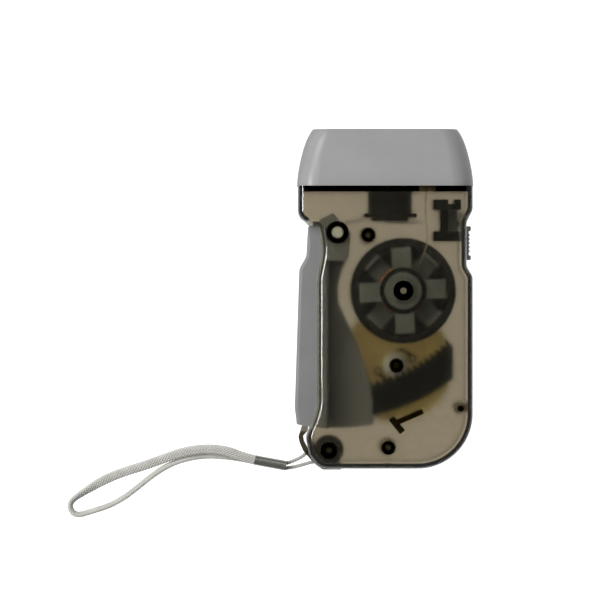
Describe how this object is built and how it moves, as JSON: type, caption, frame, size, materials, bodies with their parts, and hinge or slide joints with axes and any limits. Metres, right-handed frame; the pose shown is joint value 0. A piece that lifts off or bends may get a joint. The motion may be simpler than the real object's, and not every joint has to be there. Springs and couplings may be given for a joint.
{
  "type": "squeeze-lever dynamo flashlight",
  "caption": "Pocket flashlight in a smoked clear case: a squeeze lever drives a toothed sector, gears and a flywheel dynamo; wrist lanyard on the foot.",
  "frame": {"origin": "on the flat back of the rear cover, where the part rests, level with the dynamo", "axes": "+X to the right seen from the front cover, +Y towards the lamp, +Z out of the front cover"},
  "size_m": [0.127, 0.1216, 0.028],
  "materials": {
    "smoke_shell": "smoked clear plastic, faintly frosted",
    "grey_plastic": "satin moulded grey",
    "black_plastic": "moulded black",
    "amber_plastic": "amber nylon",
    "white_plastic": "moulded white",
    "clear_plastic": "clear lens",
    "mirror_coat": "vacuum-coated mirror",
    "steel": "bright steel",
    "plate_steel": "dull plated steel",
    "spring_steel": "drawn wire",
    "copper": "enamelled copper",
    "magnet": "pressed ferrite",
    "cell_steel": "nickel-plated can",
    "board": "green circuit board",
    "rubber_seal": "soft black seal",
    "loop_cord": "pale braided cord",
    "string_cord": "pale twisted string",
    "crimp_metal": "dark plated metal"
  },
  "bodies": {
    "case": {"front_cover": "smoke_shell", "rear_cover": "smoke_shell", "head_bezel": "grey_plastic", "lens": "clear_plastic", "lens_gasket": "rubber_seal", "reflector": "mirror_coat", "led_lamps": "clear_plastic", "led_leads": "steel", "led_board": "board", "board_parts": "black_plastic", "battery_holder": "black_plastic", "button_cells": "cell_steel", "battery_contact_lower": "steel", "battery_contact_upper": "steel", "switch_bracket": "black_plastic", "switch_body": "plate_steel", "switch_terminals": "steel", "switch_guide_plate": "grey_plastic", "lever_pivot_pin": "steel", "lever_spring": "spring_steel", "gear_shaft": "steel", "rotor_shaft": "steel", "stator_front_plate": "plate_steel", "stator_rear_plate": "plate_steel", "coil_bobbin": "black_plastic", "coil_winding": "copper", "stator_bush": "plate_steel", "stator_washer": "black_plastic", "shaft_washers": "steel", "case_screws": "steel", "coil_lead": "copper", "crimp_sleeve": "crimp_metal", "wrist_loop": "loop_cord", "lanyard_string": "string_cord"},
    "lever": {"lever": "grey_plastic", "sector_gear": "black_plastic"},
    "gear_train": {"drive_gear": "amber_plastic", "drive_pinion": "white_plastic", "clutch_pawls": "black_plastic"},
    "rotor": {"flywheel": "black_plastic", "ring_magnet": "magnet", "rotor_pinion": "white_plastic"},
    "switch": {"switch_knob": "grey_plastic", "switch_slider": "black_plastic"},
    "latch": {"latch": "smoke_shell"}
  },
  "joints": [
    {"name": "lever_hinge", "type": "hinge", "parent": "case", "child": "lever", "pos_m": [-0.01473, 0.0206, 0.014], "axis": [0, 0, -1], "range_deg": [0, 17], "deforming": ["lever_spring"]},
    {"name": "gear_spin", "type": "hinge", "parent": "case", "child": "gear_train", "pos_m": [0.00343, -0.02057, 0.0032], "axis": [0, 0, -1], "continuous": true},
    {"name": "rotor_spin", "type": "hinge", "parent": "case", "child": "rotor", "pos_m": [0.00562, 0.00257, 0.0032], "axis": [0, 0, -1], "continuous": true},
    {"name": "latch_hinge", "type": "hinge", "parent": "case", "child": "latch", "pos_m": [-0.0174, -0.0468, 0.014], "axis": [0, 0, -1], "range_deg": [0, 10]},
    {"name": "switch_slide", "type": "slide", "parent": "case", "child": "switch", "axis": [0, -1, 0], "range_m": [0, 0.002]}
  ],
  "couplings": [
    {"joint": "gear_spin", "follows": "lever_hinge", "ratio": 16},
    {"joint": "rotor_spin", "follows": "lever_hinge", "ratio": -54.857}
  ]
}
